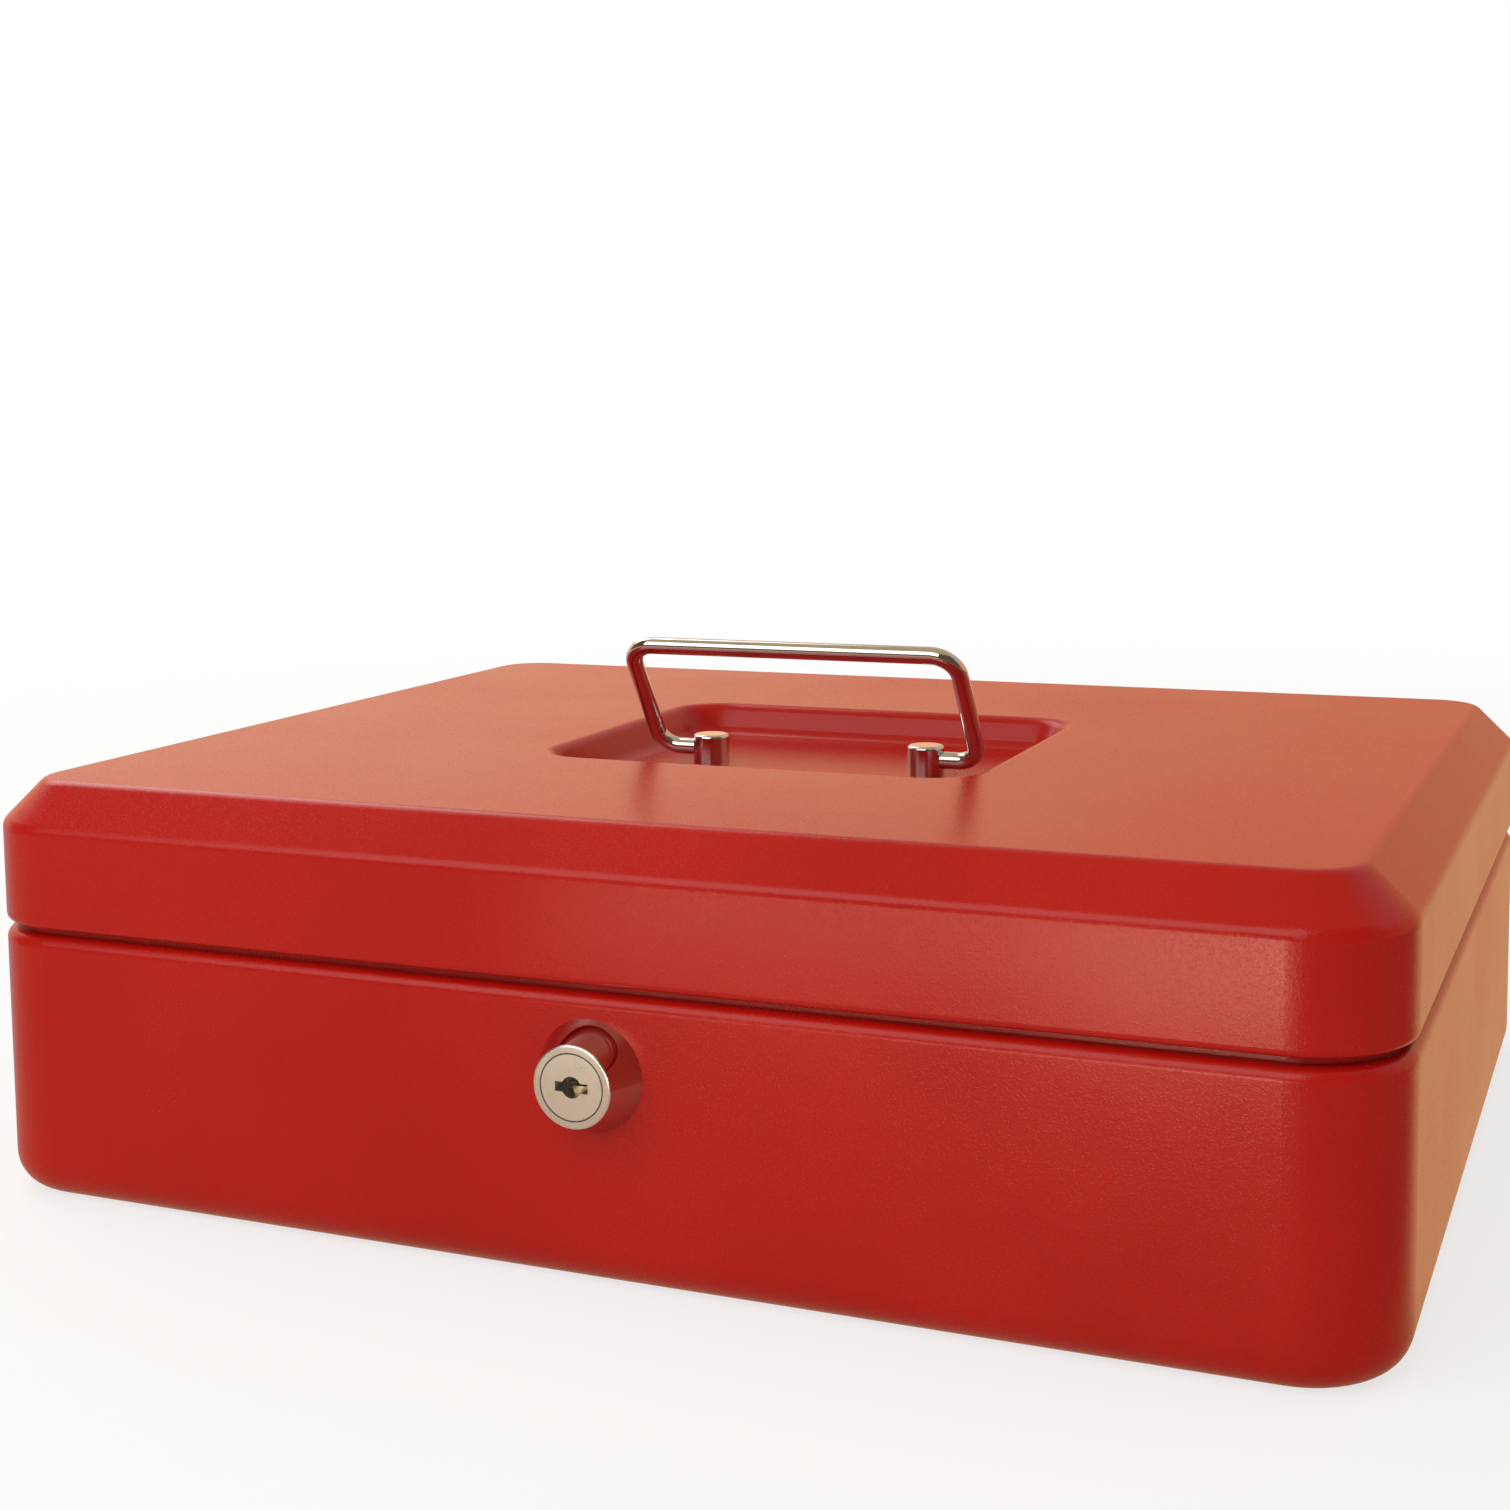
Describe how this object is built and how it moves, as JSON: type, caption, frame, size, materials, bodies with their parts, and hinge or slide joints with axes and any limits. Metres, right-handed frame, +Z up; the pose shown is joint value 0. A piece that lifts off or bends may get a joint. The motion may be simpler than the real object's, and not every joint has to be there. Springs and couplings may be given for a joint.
{
  "type": "cash box",
  "caption": "Lockable steel cash box: bevelled lid on rear hinges, wire bail handle folding into a lid well, front wafer lock with hook cam, lift-out coin tray.",
  "frame": {"origin": "middle of the base's underside, on the table", "axes": "+X to the right seen from the lock side, +Y to the hinges at the back, +Z up"},
  "size_m": [0.3, 0.2509, 0.1145],
  "materials": {
    "red_powder_coat": "satin red powder coat",
    "bright_chrome": "bright plated",
    "satin_nickel": "satin plated",
    "zinc_steel": "zinc plated",
    "brass_wafers": "stamped",
    "tray_plastic": "moulded, fine grain"
  },
  "bodies": {
    "box": {"body_shell": "red_powder_coat", "hinge_leaf_box_left": "zinc_steel", "hinge_leaf_box_right": "zinc_steel", "hinge_pin_left": "zinc_steel", "hinge_pin_right": "zinc_steel", "hinge_rivets_box": "zinc_steel", "lock_housing": "bright_chrome", "lock_washer": "zinc_steel", "lock_nut": "zinc_steel"},
    "lid": {"lid_shell": "red_powder_coat", "hinge_leaf_lid_left": "zinc_steel", "hinge_leaf_lid_right": "zinc_steel", "hinge_rivets_lid": "zinc_steel", "handle_post_left": "bright_chrome", "handle_post_right": "bright_chrome", "post_washers": "zinc_steel", "lid_catch": "zinc_steel"},
    "handle": {"handle_bail": "bright_chrome"},
    "lock_core": {"lock_plug": "satin_nickel", "lock_wafers": "brass_wafers", "lock_cam": "zinc_steel", "cam_screw": "zinc_steel"},
    "tray": {"coin_tray": "tray_plastic"}
  },
  "joints": [
    {"name": "lid_hinge", "type": "hinge", "parent": "box", "child": "lid", "pos_m": [0, 0.12055, 0.0588], "axis": [-1, 0, 0], "range_deg": [0, 100]},
    {"name": "handle_swing", "type": "hinge", "parent": "lid", "child": "handle", "pos_m": [0, 0, 0.086], "axis": [1, 0, 0], "range_deg": [-124, 56]},
    {"name": "lock_turn", "type": "hinge", "parent": "box", "child": "lock_core", "pos_m": [0, -0.12, 0.0423], "axis": [0, 1, 0], "range_deg": [0, 90]},
    {"name": "tray_lift", "type": "slide", "parent": "box", "child": "tray", "axis": [0, 0, 1], "range_m": [0, 0.01]}
  ]
}
